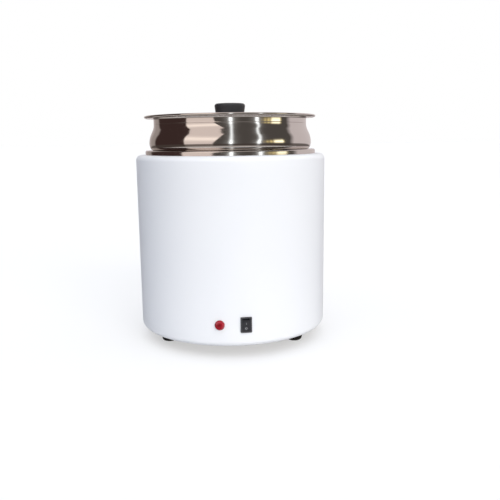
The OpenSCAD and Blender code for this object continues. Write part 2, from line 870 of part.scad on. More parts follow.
module wire_live() {
    color("saddlebrown") wire([
        pole_end(3, 0),
        pole_end(3, stub),
        inside(0.45, 0.08, 0.23),
        inside(0.35, -0.36, 0.39),
        switch_end(1, stub),
        switch_end(1, 0)
    ], wire_d);
}

module wire_switched() {
    color("saddlebrown") wire([
        switch_end(-1, 0),
        switch_end(-1, stub),
        inside(0.1, -0.53, 0.39),
        stat_end(1, -1, stub),
        stat_end(1, -1, 0)
    ], wire_d);
}

module wire_link() {
    color("saddlebrown") wire([
        stat_end(-1, -1, 0),
        stat_end(-1, -1, stub),
        inside(-0.13, -0.1, 0.55),
        inside(-0.13, 0.1, 0.55),
        stat_end(-1, 1, stub),
        stat_end(-1, 1, 0)
    ], wire_d);
}

module wire_element() {
    color("saddlebrown") wire([
        stat_end(1, 1, 0),
        stat_end(1, 1, stub),
        inside(0.06, 0.37, 0.42),
        pin_end(1, stub),
        pin_end(1, 0)
    ], wire_d);
}

module wire_neutral() {
    color("steelblue") wire([
        pin_end(-1, 0),
        pin_end(-1, stub),
        inside(-0.02, 0.38, 0.23),
        inside(0.14, 0.29, 0.15),
        pole_end(0, stub),
        pole_end(0, 0)
    ], wire_d);
}

module lamp_leads() {
    color("steelblue") {
        wire([
            lamp_lead_end(-1, 0),
            lamp_lead_end(-1, stub),
            inside(-0.06, -0.4, 0.28),
            inside(0.18, 0.08, 0.1),
            pole_end(1, stub),
            pole_end(1, 0)
        ], lead_d);
        wire([
            lamp_lead_end(1, 0),
            lamp_lead_end(1, stub),
            inside(0.03, -0.42, 0.23),
            inside(0.29, 0.06, 0.1),
            pole_end(2, stub),
            pole_end(2, 0)
        ], lead_d);
    }
}

// Food pot: floor, wall, seat, bead, curve, neck, ledge and rolled rim

bead_seat_r = bead_r - bead_swell;

pot_path = concat(
    [[0, z_pot]],
    arc([pot_r - pot_corner_r, z_pot + pot_corner_r], pot_corner_r, -90, 0, 10),
    arc([pot_r + seat_fillet_r, z_seat - seat_fillet_r], seat_fillet_r, 180, 90, 5),
    [
        for (i = [0:8]) let (a = 90 - i * 90 / 8)
            [bead_seat_r + bead_swell * cos(a), z_bead - bead_low * sin(a)]
    ],
    arc([bead_r - bead_bend_r, z_bead], bead_bend_r, 0, bead_slope, 7),
    arc([neck_r + neck_bend_r, z_neck], neck_bend_r, 180 + bead_slope, 180, 7),
    arc([ledge_in_r, z_rim - flare_r], flare_r, 180, 90, 6),
    [[ledge_out_r, z_rim], [rim_r - roll_r, z_rim + rim_rise]]
);

module food_pot() {
    color(bright) rotate_extrude() union() {
        sheet_section(pot_path, pot_t);
        translate([rim_r - roll_r, z_rim + rim_rise + pot_t / 2]) circle(roll_r);
    }
}

// Lid: edge on the ledge, drop into the neck, shallow dome and flat pad under the knob

lid_path = concat(
    [[lid_r, z_lid]],
    arc([lid_drop_r + lid_bend_r, z_lid - lid_bend_r], lid_bend_r, 90, 180, 5),
    arc([dome_r, z_dome + lid_bend_r], lid_bend_r, 0, -90, 5),
    [
        for (i = [1:16]) let (s = i / 16)
            [dome_r + (pad_r - dome_r) * s, z_dome + dome_h * (1 - cos(180 * s)) / 2]
    ],
    [[knob_hole_r, z_knob]]
);

module lid() {
    color(bright) rotate_extrude() sheet_section(lid_path, lid_t);
}

module lid_knob() {
    base_r = knob_base_d / 2;
    low_r = knob_r - grip_draft;
    bore_r = knob_screw_d / 2 + fit;
    grip_edge_z = knob_h - grip_edge_r;
    color(black) translate([0, 0, z_knob]) rotate_extrude() polygon(concat(
        [[bore_r, 0], [base_r, 0]],
        [
            for (i = [0:6]) let (a = i * 15)
                [low_r - (low_r - base_r) * cos(a), knob_base_h + (grip_low - knob_base_h) * sin(a)]
        ],
        arc([knob_r - grip_edge_r, grip_edge_z], grip_edge_r, 0, 90, 6),
        [[0, knob_h + knob_crown], [0, knob_bore_l], [bore_r, knob_bore_l]]
    ));
}

module knob_screw() {
    reach = washer_t + lid_t + knob_screw_l;
    color(steel) translate([0, 0, z_knob - lid_t - washer_t])
        screw_up(knob_screw_d, reach);
}

module knob_washer() {
    color(black) translate([0, 0, z_knob - lid_t - washer_t]) difference() {
        cylinder(r = washer_r, h = washer_t);
        hole(knob_screw_d + 2 * fit, washer_t);
    }
}

outer_shell();
base_plate();
base_screws();
foot_front_left();
foot_front_right();
foot_rear();
foot_screws();
foot_nuts();
water_well();
well_gasket();
well_clips();
insulation_sleeve();
heating_element();
element_terminals();
clamp_bar();
clamp_stud();
clamp_nut();
thermostat();
overheat_cutout();
stat_brackets();
stat_studs();
stat_nuts();
stat_tabs();
switch_housing();
switch_rocker();
switch_tabs();
lamp_lens();
lamp_holder();
lamp_nut();
lamp_bulb();
cord_gland();
gland_nut();
terminal_block();
block_screws();
earth_stud();
earth_nut();
wire_live();
wire_switched();
wire_link();
wire_element();
wire_neutral();
lamp_leads();
food_pot();
lid();
lid_knob();
knob_screw();
knob_washer();
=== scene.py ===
"""Looks of a round electric soup warmer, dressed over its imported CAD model.

A white enamelled casing holds a spun steel well, pot and lid. The knob, feet, gland and rocker switch
are black, and the pilot lamp is red. Lengths are in metres, in the CAD model's frame: the floor is z = 0
and the controls face -Y.
"""

import json
import math

import bmesh
import bpy
import numpy as np
from mathutils import Euler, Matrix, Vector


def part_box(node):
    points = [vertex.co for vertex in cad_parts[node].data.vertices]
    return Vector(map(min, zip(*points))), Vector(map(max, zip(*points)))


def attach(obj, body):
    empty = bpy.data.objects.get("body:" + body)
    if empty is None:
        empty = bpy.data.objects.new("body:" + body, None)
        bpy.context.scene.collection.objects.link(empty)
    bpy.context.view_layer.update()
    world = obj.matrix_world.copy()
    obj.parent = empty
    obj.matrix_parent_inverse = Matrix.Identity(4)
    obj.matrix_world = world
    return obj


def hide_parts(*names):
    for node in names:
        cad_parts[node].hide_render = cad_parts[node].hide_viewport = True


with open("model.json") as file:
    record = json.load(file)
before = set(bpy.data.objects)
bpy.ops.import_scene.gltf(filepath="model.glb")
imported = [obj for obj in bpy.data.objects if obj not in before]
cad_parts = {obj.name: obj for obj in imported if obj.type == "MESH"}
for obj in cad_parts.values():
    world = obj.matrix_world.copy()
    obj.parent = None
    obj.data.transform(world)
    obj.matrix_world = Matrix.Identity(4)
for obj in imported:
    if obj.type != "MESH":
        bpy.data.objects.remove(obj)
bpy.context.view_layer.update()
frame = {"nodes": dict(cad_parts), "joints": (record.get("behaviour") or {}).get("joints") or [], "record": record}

MM = 0.001
TURN = 2 * math.pi
SAME_POINT = 1e-7
WELD = 1e-6


def reach(node):
    """Largest radius about the axis, lowest level and highest level of a CAD node."""
    low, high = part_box(node)
    return max(high.x, high.y, -low.x, -low.y), low.z, high.z


# Sizes read from the CAD model

shell_r, z_shell, z_top = reach("outer_shell")
collar_r, z_well, z_seat = reach("water_well")
rim_r, z_pot, z_pot_top = reach("food_pot")
lid_r, _, z_pad = reach("lid")
knob_r, z_knob, z_knob_top = reach("lid_knob")
base_r, z_base, _ = reach("base_plate")
rocker_hinge = next(j for j in frame["joints"] if j["name"] == "switch_rock")
pivot_x, pivot_y, z_panel = rocker_hinge["pos_m"]
panel_turn = math.atan2(pivot_x, -pivot_y)
pivot_depth = shell_r - math.hypot(pivot_x, pivot_y)

# Casing
shell_t = 1.5 * MM
top_edge_r = 7.5 * MM
bottom_edge_r = 8 * MM
lip_w = 12 * MM
cut_slack = 0.3 * MM

# Well, pot and lid, from the collar inwards
well_t = 1 * MM
pot_t = 1 * MM
lid_t = 0.8 * MM
collar_edge_r = 2 * MM
well_lip_r = 2 * MM
well_corner_r = 16 * MM
pot_corner_r = 18 * MM
seat_fillet_r = 3 * MM
collar_ledge = 6 * MM
bead_proud = 7 * MM
seat_w = 13.4 * MM
well_gap = 3.4 * MM
hole_gap = 3 * MM
bead_r = collar_r - collar_ledge
neck_r = bead_r - bead_proud
pot_r = bead_r - seat_w
well_r = pot_r + well_gap
hole_r = well_r + well_t + hole_gap
bead_swell = 5 * MM
bead_low = 9.7 * MM
bead_bend_r = 30 * MM
neck_bend_r = 19.4 * MM
bead_slope = math.radians(24)
z_bead = z_seat + bead_low
spun_line_h = 1 * MM
spun_line_w = 0.1 * MM
roll_r = 1.5 * MM
rim_rise = 1.4 * MM
z_rim = z_pot_top - roll_r - rim_rise - pot_t / 2
flare_r = 2.4 * MM
ledge_w = 5 * MM
lid_gap = 0.7 * MM
lid_drop = 6 * MM
lid_bend_r = 1.6 * MM
lid_drop_r = neck_r - pot_t - lid_gap - lid_t
z_lid = z_rim + pot_t + lid_t
pad_r = 12 * MM
lid_hole_r = 3 * MM

# Knob
knob_base_r = 11 * MM
knob_base_h = 2 * MM
grip_low = 7 * MM
grip_draft = 1.6 * MM
grip_edge_r = 3.4 * MM
knob_crown = 0.4 * MM
knob_bore_r = 2.6 * MM
knob_bore_l = 12 * MM

# Switch and lamp
bezel_w = 15 * MM
bezel_h = 21 * MM
bezel_t = 2 * MM
switch_w = 13 * MM
switch_h = 19 * MM
switch_depth = 20 * MM
cavity_w = 10.6 * MM
cavity_h = 17.2 * MM
bezel_corner_r = 1 * MM
cavity_corner_r = 0.4 * MM
rocker_w = 10.1 * MM
rocker_gap = 0.25 * MM
rocker_tilt = math.radians(11)
rocker_dish = math.radians(6)
rocker_sink = 0.5 * MM
lens_r = 6.6 * MM
lens_h = 6 * MM
holder_r = 5 * MM
gland_r = 7.8 * MM


# Outlines, as arrays of (radius, height) points


def arc(centre, radius, start, end, steps=10):
    """Points of a circular arc: the centre plus the radius times (cos, sin) of even angles, in degrees."""
    turn = np.radians(np.linspace(start, end, steps + 1))
    return np.asarray(centre) + radius * np.stack([np.cos(turn), np.sin(turn)], 1)


def joined(*parts):
    """One outline from several runs of points, without a point that repeats the one before it."""
    points = np.vstack([np.atleast_2d(part) for part in parts])
    step = np.linalg.norm(np.diff(points, axis=0), axis=1)
    return points[np.concatenate([[True], step > SAME_POINT])]


def left_of(path, thickness):
    """A path moved to its left: each point goes along the middle of its two edges' normals,
    far enough to keep the sheet's thickness across both edges."""
    edge = np.diff(path, axis=0)
    edge /= np.linalg.norm(edge, axis=1, keepdims=True)
    before = np.vstack([edge[:1], edge])
    after = np.vstack([edge, edge[-1:]])
    middle = before + after
    middle /= np.linalg.norm(middle, axis=1, keepdims=True)
    stretch = thickness / np.sum(middle * before, axis=1, keepdims=True)
    return path + stretch * np.stack([-middle[:, 1], middle[:, 0]], 1)


def half_round(start, end, steps=6):
    """Half circle from one point to another, bulging to the right of the line between them."""
    middle = (start + end) / 2
    spoke = start - middle
    bulge = np.array([-spoke[1], spoke[0]])
    turn = np.linspace(0, math.pi, steps + 1)[1:-1, None]
    return middle + np.cos(turn) * spoke + np.sin(turn) * bulge


# Meshes


def solid(name, points, quads, crease=38):
    """Mesh object from points and quads: coincident points are merged, so poles and seams close, faces are
    turned outwards, and edges sharper than the crease angle in degrees stay crisp."""
    mesh = bpy.data.meshes.new(name)
    mesh.from_pydata(points.tolist(), [], quads.tolist())
    work = bmesh.new()
    work.from_mesh(mesh)
    bmesh.ops.remove_doubles(work, verts=work.verts, dist=WELD)
    bmesh.ops.recalc_face_normals(work, faces=work.faces)
    work.to_mesh(mesh)
    work.free()
    mesh.shade_smooth()
    mesh.set_sharp_from_angle(angle=math.radians(crease))
    piece = bpy.data.objects.new(name, mesh)
    bpy.context.scene.collection.objects.link(piece)
    return piece


def grid_quads(rows, columns, closed_rows=False, closed_columns=True):
    """Corner numbers of every cell of a grid of points, whose rows and columns may run round into rings."""
    index = np.arange(rows * columns).reshape(rows, columns)
    if closed_rows:
        index = np.vstack([index, index[:1]])
    if closed_columns:
        index = np.hstack([index, index[:, :1]])
    return np.stack([index[:-1, :-1], index[:-1, 1:], index[1:, 1:], index[1:, :-1]], 2).reshape(-1, 4)


def skin(name, grid, closed_rows=False, crease=38):
    """Solid over a grid of points whose columns run round: a quad on each cell."""
    rows, columns = grid.shape[:2]
    return solid(name, grid.reshape(-1, 3), grid_quads(rows, columns, closed_rows), crease)


def turned(outline, columns=256):
    """Grid of a surface of revolution: each point (r, z) goes round the axis as (r sin a, -r cos a, z)."""
    turn = np.linspace(0, TURN, columns, endpoint=False)
    r, z = outline[:, :1], outline[:, 1:]
    return np.stack([r * np.sin(turn), -r * np.cos(turn), z + 0 * turn], 2)


def on_casing(points, turn):
    """Points given as (sideways, up, outwards) from the level of the controls on the casing's wall,
    carried to the side of the casing that a turn from the front names."""
    sideways = np.array([math.cos(turn), math.sin(turn), 0])
    outwards = np.array([math.sin(turn), -math.cos(turn), 0])
    axes = np.stack([sideways, [0, 0, 1], outwards])
    return points @ axes + shell_r * outwards + [0, 0, z_panel]


def rounded_ring(half_w, half_h, corner, level, steps=6):
    """Rounded rectangle at one level: a quarter circle of the corner radius about each corner's centre."""
    turn = np.radians(np.linspace(0, 90, steps + 1)) + np.radians([[0], [90], [180], [270]])
    side = np.array([[1], [-1], [-1], [1]])
    up = np.array([[1], [1], [-1], [-1]])
    x = side * (half_w - corner) + corner * np.cos(turn)
    y = up * (half_h - corner) + corner * np.sin(turn)
    return np.stack([x, y, level + 0 * x], 2).reshape(-1, 3)


# Finishes


class Field:
    """A value that changes over a surface. It wraps a shader socket, and + - * / on it add Math nodes."""

    def __init__(self, tree, socket=None):
        self.tree = tree
        self.socket = socket

    def node(self, kind, settings=None, inputs=None, output=0):
        """Adds one shader node: first its settings, then a value or a link for each socket named."""
        made = self.tree.nodes.new("ShaderNode" + kind)
        for key, value in (settings or {}).items():
            setattr(made, key, value)
        for key, value in (inputs or {}).items():
            if isinstance(value, Field):
                self.tree.links.new(value.socket, made.inputs[key])
            else:
                made.inputs[key].default_value = value
        return Field(self.tree, made.outputs[output])

    def math(self, operation, *values):
        return self.node("Math", {"operation": operation}, dict(enumerate(values)))

    def __add__(self, other):
        return self.math("ADD", self, other)

    def __sub__(self, other):
        return self.math("SUBTRACT", self, other)

    def __rsub__(self, other):
        return self.math("SUBTRACT", other, self)

    def __mul__(self, other):
        return self.math("MULTIPLY", self, other)

    def __truediv__(self, other):
        return self.math("DIVIDE", self, other)

    def __rtruediv__(self, other):
        return self.math("DIVIDE", other, self)

    __radd__ = __add__
    __rmul__ = __mul__


class Finish:
    """A Principled material whose patterns read the piece's Object coordinates."""

    def __init__(self, name, **constants):
        self.material = bpy.data.materials.new(name)
        self.material.use_nodes = True
        tree = self.material.node_tree
        self.shader = tree.nodes["Principled BSDF"]
        self.root = Field(tree)
        self.place = self.root.node("TexCoord", output="Object")
        for key, value in constants.items():
            self.shader.inputs[key.replace("_", " ").title().replace("Ior", "IOR")].default_value = value

    def noise(self, scale, detail=2, at=None, roughness=0.5):
        """Smooth noise from 0 to 1, with the given number of lumps to a metre."""
        inputs = {"Vector": at or self.place, "Scale": scale, "Detail": detail, "Roughness": roughness}
        return self.root.node("TexNoise", {}, inputs, "Fac")

    def ramp(self, value, low, high):
        """A value stretched so that low becomes 0 and high becomes 1, kept between them."""
        inputs = {"Value": value, "From Min": low, "From Max": high}
        return self.root.node("MapRange", {"clamp": True}, inputs)

    def blend(self, share, first, second):
        """Colour that goes from the first to the second as the share goes from 0 to 1."""
        inputs = {0: share, 6: first if isinstance(first, Field) else (*first, 1),
                  7: second if isinstance(second, Field) else (*second, 1)}
        return self.root.node("Mix", {"data_type": "RGBA"}, inputs, 2)

    def apart(self):
        """The x, y and z of the place on the piece, and its distance from the piece's axis."""
        x, y, z = (self.root.node("SeparateXYZ", {}, {0: self.place}, axis) for axis in range(3))
        return x, y, z, self.root.math("SQRT", x * x + y * y)

    def give(self, socket, value):
        """Feeds one of the shader's sockets."""
        self.root.tree.links.new(value.socket, self.shader.inputs[socket])

    def bump(self, height, strength, distance):
        """Relief of the given height pattern."""
        inputs = {"Strength": strength, "Distance": distance, "Height": height}
        self.give("Normal", self.root.node("Bump", {}, inputs))


def white_enamel():
    """Stove enamel on sheet steel: faint cloudiness and a fine orange peel under a soft gloss."""
    finish = Finish("white_enamel", specular_ior_level=0.35)
    cloud = finish.noise(11, 3)
    peel = finish.noise(620, 2)
    finish.give("Base Color", finish.blend(cloud, (0.85, 0.86, 0.88), (0.88, 0.885, 0.9)))
    finish.give("Roughness", 0.36 + 0.1 * cloud + 0.04 * peel)
    finish.bump(peel, 0.05, 0.3 * MM)
    return finish.material


def spun_steel(name, grain, shine, tint):
    """Polished stainless steel: fine lines round the axis from spinning, and faint smears."""
    finish = Finish(name, metallic=1.0)
    x, y, z, radius = finish.apart()
    sway = 6 * MM
    spoke = radius + 1 * MM
    along = {0: radius + x / spoke * sway, 1: z + y / spoke * sway, 2: 0.0}
    lines = finish.noise(grain, 3, finish.root.node("CombineXYZ", {}, along))
    smear = finish.noise(24, 3)
    dull = tuple(channel * 0.94 for channel in tint)
    finish.give("Base Color", finish.blend(lines, dull, tint))
    finish.give("Roughness", shine + 0.05 * lines + 0.03 * finish.ramp(smear, 0.45, 0.75))
    finish.bump(lines, 0.03, 0.05 * MM)
    return finish.material


def moulded_plastic(name, colour, gloss):
    """Moulded plastic with a fine spark-eroded texture."""
    finish = Finish(name, specular_ior_level=0.45)
    texture = finish.noise(2600, 2)
    cloud = finish.noise(60, 2)
    pale = tuple(channel * 1.5 + 0.004 for channel in colour)
    finish.give("Base Color", finish.blend(cloud, colour, pale))
    finish.give("Roughness", gloss + 0.12 * texture + 0.06 * cloud)
    finish.bump(texture, 0.12, 0.08 * MM)
    return finish.material


def black_rubber():
    """Matt rubber with a dusty bloom."""
    finish = Finish("black_rubber", specular_ior_level=0.3)
    grain = finish.noise(1500, 3)
    bloom = finish.noise(90, 4)
    dusty = finish.ramp(bloom, 0.4, 0.8)
    finish.give("Base Color", finish.blend(dusty, (0.014, 0.013, 0.013), (0.04, 0.038, 0.036)))
    finish.give("Roughness", 0.62 + 0.25 * grain)
    finish.bump(grain, 0.25, 0.1 * MM)
    return finish.material


def plated_steel():
    """Zinc-plated sheet: a spangled grey with a slight passivated tint."""
    finish = Finish("plated_steel", metallic=1.0)
    spangle = finish.root.node("TexVoronoi", {}, {"Vector": finish.place, "Scale": 260}, "Color")
    grey = finish.root.node("RGBToBW", {}, {0: spangle})
    tint = finish.noise(35, 3)
    plain = finish.blend(tint, (0.56, 0.57, 0.58), (0.6, 0.58, 0.52))
    finish.give("Base Color", finish.blend(grey * 0.25, plain, (0.72, 0.73, 0.75)))
    finish.give("Roughness", 0.3 + 0.12 * grey + 0.1 * tint)
    finish.bump(finish.noise(900, 2), 0.06, 0.1 * MM)
    return finish.material


def red_lens():
    """Clear red moulded plastic in faint swirls, with painted shade near the tip, where the dark bore behind
    would show through, and painted light towards the edges, where light would pass through the plastic.
    """
    finish = Finish("red_lens", specular_ior_level=0.5, ior=1.49)
    swirl = finish.noise(420, 2)
    bore_up = 1.2 * MM
    tip = tuple(on_casing(np.array([0, bore_up, lens_h]), -panel_turn))
    from_tip = finish.root.node("VectorMath", {"operation": "DISTANCE"}, {0: finish.place, 1: tip}, "Value")
    # Painted shade and light: the base colour is darkest at the tip and grows paler towards the lens's edge.
    edge = finish.ramp(from_tip, 0.5 * MM, 0.7 * lens_r) * (0.7 + 0.6 * swirl)
    finish.give("Base Color", finish.blend(edge, (0.15, 0.0005, 0.004), (0.36, 0.004, 0.018)))
    finish.give("Roughness", 0.06 + 0.08 * swirl)
    finish.bump(swirl, 0.1, 0.1 * MM)
    return finish.material


def mark_paint():
    """Off-white printed paint, a little thin in places."""
    finish = Finish("mark_paint")
    thin = finish.noise(1800, 2)
    cover = finish.ramp(thin, 0.3, 0.6)
    finish.give("Base Color", finish.blend(cover, (0.14, 0.14, 0.145), (0.4, 0.4, 0.41)))
    finish.give("Roughness", 0.5 + 0.2 * thin)
    return finish.material


def mineral_wool():
    """Felted mineral wool: tangled fibres in straw and brown."""
    finish = Finish("mineral_wool", specular_ior_level=0.1)
    stretch = finish.root.node("Mapping", {}, {0: finish.place, "Scale": (1, 1, 6)})
    fibre = finish.noise(380, 5, stretch, 0.7)
    finish.give("Base Color", finish.blend(fibre, (0.3, 0.23, 0.1), (0.75, 0.66, 0.4)))
    finish.give("Roughness", 0.85 + 0.1 * fibre)
    finish.bump(fibre, 0.8, 1 * MM)
    return finish.material


def metal(name, dark, pale, scale, rough):
    """Plain metal mottled between two colours."""
    finish = Finish(name, metallic=1.0)
    mottle = finish.noise(scale, 4)
    finish.give("Base Color", finish.blend(mottle, dark, pale))
    finish.give("Roughness", rough + 0.15 * mottle)
    finish.bump(mottle, 0.1, 0.1 * MM)
    return finish.material


def coated(name, dark, pale, scale, rough):
    """Plastic, ceramic or glass mottled between two colours."""
    finish = Finish(name)
    mottle = finish.noise(scale, 3)
    finish.give("Base Color", finish.blend(mottle, dark, pale))
    finish.give("Roughness", rough + 0.1 * mottle)
    finish.bump(mottle, 0.08, 0.1 * MM)
    return finish.material


steel_tint = (0.76, 0.725, 0.70)
finishes = {
    "white_enamel": white_enamel(),
    "polished_steel": spun_steel("polished_steel", 1500, 0.045, steel_tint),
    "plated_steel": plated_steel(),
    "black_rubber": black_rubber(),
    "mineral_wool": mineral_wool(),
    "element_sheath": metal("element_sheath", (0.10, 0.085, 0.08), (0.2, 0.16, 0.13), 120, 0.4),
    "ivory_ceramic": coated("ivory_ceramic", (0.72, 0.67, 0.55), (0.82, 0.78, 0.68), 200, 0.35),
    "black_plastic": moulded_plastic("black_plastic", (0.026, 0.026, 0.0295), 0.36),
    "brass_tabs": metal("brass_tabs", (0.62, 0.44, 0.16), (0.8, 0.6, 0.28), 150, 0.25),
    "red_lens": red_lens(),
    "bulb_glass": coated("bulb_glass", (0.75, 0.4, 0.2), (0.9, 0.55, 0.3), 120, 0.05),
    "brown_pvc": coated("brown_pvc", (0.16, 0.07, 0.03), (0.24, 0.11, 0.05), 90, 0.35),
    "blue_pvc": coated("blue_pvc", (0.03, 0.09, 0.3), (0.06, 0.15, 0.42), 90, 0.35),
}
white_marks = mark_paint()

bodies = frame["record"]["behaviour"]["bodies"]
body_of_node = {node: body for body, nodes in bodies.items() for node in nodes}
slot_of_node = {part["node"]: part["material_slot"] for part in frame["record"]["subparts"]}


def stands_for(piece, node):
    """The piece replaces a CAD node: it takes the node's finish and moves with the node's body."""
    piece.data.materials.append(finishes[slot_of_node[node]])
    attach(piece, body_of_node[node])
    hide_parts(node)
    return piece


for node, part in frame["nodes"].items():
    part.data.materials.clear()
    part.data.materials.append(finishes[slot_of_node[node]])


# Casing


def round_hole(turns, levels, turn, half):
    """Grid lines bent round a hole: on the square of the hole's half size each point moves in to the
    circle, by the ratio of its square distance to its round one, and the pull fades out at twice that
    size."""
    side = (turns - turn + math.pi) % TURN - math.pi
    side = side * shell_r
    up = levels - z_panel
    square = np.maximum(np.abs(side), np.abs(up))
    pull = np.clip(2 - square / half, 0, 1)
    scale = 1 + pull * (square / np.maximum(np.hypot(side, up), 1e-9) - 1)
    return turn + side * scale / shell_r, z_panel + up * scale


def punched_sheet(name, outer, inner, kept):
    """Closed sheet between two grids of points. Each kept cell has a face outside and one inside, and each
    border of a kept cell with a cut one, or with the first or last row, has a face across the edge."""
    rows, columns = outer.shape[:2]
    index = np.arange(rows * columns).reshape(rows, columns)
    beside = np.roll(index, -1, axis=1)
    faces = np.stack([index[:-1], beside[:-1], beside[1:], index[1:]], 2)[kept]
    level = np.pad(kept, ((1, 1), (0, 0)))
    across = np.stack([index, beside], 2)[level[1:] != level[:-1]]
    upright = np.stack([index[:-1], index[1:]], 2)[kept != np.roll(kept, 1, axis=1)]
    edges = np.vstack([across, upright])
    behind = rows * columns
    quads = np.vstack([faces, faces[:, ::-1] + behind, np.hstack([edges, edges[:, ::-1] + behind])])
    return solid(name, np.vstack([outer.reshape(-1, 3), inner.reshape(-1, 3)]), quads)


def casing():
    """Sheet drum: a lip, a rounded bottom edge, the wall, a rounded shoulder edge and the shoulder, swept
    round the axis, with cut-outs for the switch, the lamp and the gland."""
    cuts = [
        (panel_turn, switch_w / 2 + cut_slack, switch_h / 2 + cut_slack),
        (-panel_turn, holder_r + cut_slack, holder_r + cut_slack),
        (math.pi, gland_r + cut_slack, gland_r + cut_slack),
    ]
    steps = np.linspace(-1, 1, 13)
    wall_low = z_shell + bottom_edge_r
    wall_high = z_top - top_edge_r
    levels = [z_panel + half_h * steps for turn, half_w, half_h in cuts]
    levels = np.unique(np.concatenate([np.linspace(wall_low, wall_high, 14), *levels]))
    wall = np.stack([np.full_like(levels, shell_r), levels], 1)
    path = joined(
        [shell_r - bottom_edge_r - lip_w, z_shell],
        arc([shell_r - bottom_edge_r, wall_low], bottom_edge_r, -90, 0, 12),
        wall,
        arc([shell_r - top_edge_r, wall_high], top_edge_r, 0, 90, 14),
        [hole_r, z_top],
    )
    fine = np.concatenate([turn + half_w / shell_r * steps for turn, half_w, half_h in cuts]) % TURN
    columns = 240
    least_step = 0.004
    coarse = np.linspace(0, TURN, columns, endpoint=False)
    apart = np.abs(coarse[:, None] - fine).min(1) > least_step
    turns = np.unique(np.concatenate([coarse[apart], fine]))

    between = turns + np.diff(turns, append=turns[0] + TURN) / 2
    height = (path[:-1, 1:] + path[1:, 1:]) / 2
    kept = np.ones((len(height), len(between)), bool)
    for turn, half_w, half_h in cuts:
        side = np.abs((between - turn + math.pi) % TURN - math.pi) * shell_r
        kept &= ~((side < half_w) & (np.abs(height - z_panel) < half_h))

    def swept(section):
        turn, level = np.broadcast_arrays(turns, section[:, 1:])
        for centre, half_w, half_h in cuts[1:]:
            turn, level = round_hole(turn, level, centre, half_w)
        r = section[:, :1]
        return np.stack([r * np.sin(turn), -r * np.cos(turn), level], 2)

    return punched_sheet("casing", swept(path), swept(left_of(path, shell_t)), kept)


stands_for(casing(), "outer_shell")


def foot(node):
    """Tapered rubber foot turned about its own axis: a well-rounded tread, a moulded groove and a recess
    for its screw."""
    low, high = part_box(node)
    top_r = (high.x - low.x) / 2
    tread_r = top_r - 2 * MM
    tread_edge_r = 4.4 * MM
    recess_r = 5.4 * MM
    bore_r = 2.2 * MM
    recess_h = 9 * MM
    soft = 1 * MM
    taper = 1.1 * MM
    draft = 0.3 * MM
    side_r = tread_r + taper
    groove_r = 0.6 * MM
    groove_half = 0.9 * MM
    groove_z = high.z * 0.55 + groove_half
    outline = joined(
        [recess_r, recess_h],
        [recess_r, soft],
        arc([recess_r + soft, soft], soft, 180, 270, 5),
        arc([tread_r - tread_edge_r, tread_edge_r], tread_edge_r, -90, -8, 12),
        [side_r - draft, groove_z - groove_half],
        arc([side_r, groove_z], groove_r, -110, -250, 6),
        [side_r, groove_z + groove_half],
        arc([top_r - soft, high.z - soft], soft, 0, 90, 5),
        [bore_r, high.z],
        [bore_r, recess_h],
    )
    centre = [(low.x + high.x) / 2, (low.y + high.y) / 2, 0]
    return skin(node.replace("foot_", "rubber_foot_"), turned(outline, 96) + centre, closed_rows=True)


for node in ("foot_front_left", "foot_front_right", "foot_rear"):
    stands_for(foot(node), node)


# Well, pot and lid


def well():
    """Deep-drawn well: collar, rounded edge, ledge, lip down into the wall, rounded corner and floor."""
    z_in = z_well + well_t
    path = joined(
        [collar_r, z_top],
        arc([collar_r - collar_edge_r, z_seat - collar_edge_r], collar_edge_r, 0, 90, 10),
        arc([well_r + well_lip_r, z_seat - well_lip_r], well_lip_r, 90, 180, 10),
        arc([well_r - well_corner_r, z_in + well_corner_r], well_corner_r, 0, -90, 16),
        [0, z_in],
    )
    other = left_of(path, well_t)
    outline = joined(path[::-1], half_round(path[0], other[0])[::-1], other)
    outline[[0, -1], 0] = 0
    return skin("steel_well", turned(outline))


def pot():
    """Spun pot: floor, corner and wall, then the seat's fillet, a bead that swells out as a quarter
    ellipse and draws in along a bend, a straight slope and a bend the other way, a fine spun line at the
    foot of the neck, a flare, a ledge for the lid and a rolled rim."""
    ledge_in = neck_r + flare_r
    fall = np.radians(np.linspace(90, 0, 13))[:, None]
    bead = np.hstack([bead_r - bead_swell + bead_swell * np.cos(fall), z_bead - bead_low * np.sin(fall)])
    bends = bead_bend_r + neck_bend_r
    slope_w = bead_r - neck_r - bends * (1 - math.cos(bead_slope))
    z_neck = z_bead + bends * math.sin(bead_slope) + slope_w / math.tan(bead_slope)
    lean = math.degrees(bead_slope)
    along = np.linspace(0, 1, 13)[:, None]
    line = np.hstack([neck_r + spun_line_w * (1 - np.cos(TURN * along)) / 2, z_neck + spun_line_h * along])
    path = joined(
        [0, z_pot],
        arc([pot_r - pot_corner_r, z_pot + pot_corner_r], pot_corner_r, -90, 0, 16),
        arc([pot_r + seat_fillet_r, z_seat - seat_fillet_r], seat_fillet_r, 180, 90, 8),
        bead,
        arc([bead_r - bead_bend_r, z_bead], bead_bend_r, 0, lean, 20),
        arc([neck_r + neck_bend_r, z_neck], neck_bend_r, 180 + lean, 180, 20),
        line,
        arc([ledge_in, z_rim - flare_r], flare_r, 180, 90, 10),
        [ledge_in + ledge_w, z_rim],
        [rim_r - roll_r, z_rim + rim_rise],
    )
    other = left_of(path, pot_t)
    run = path[-1] - path[-2]
    tilt = math.degrees(math.atan2(run[1], run[0]))
    shut = math.degrees(math.asin(pot_t / 2 / roll_r))
    roll = arc((path[-1] + other[-1]) / 2, roll_r, tilt - 180 + shut, tilt + 180 - shut, 24)
    outline = joined(path[:-1], roll, other[-2::-1])
    outline[[0, -1], 0] = 0
    return skin("steel_pot", turned(outline))


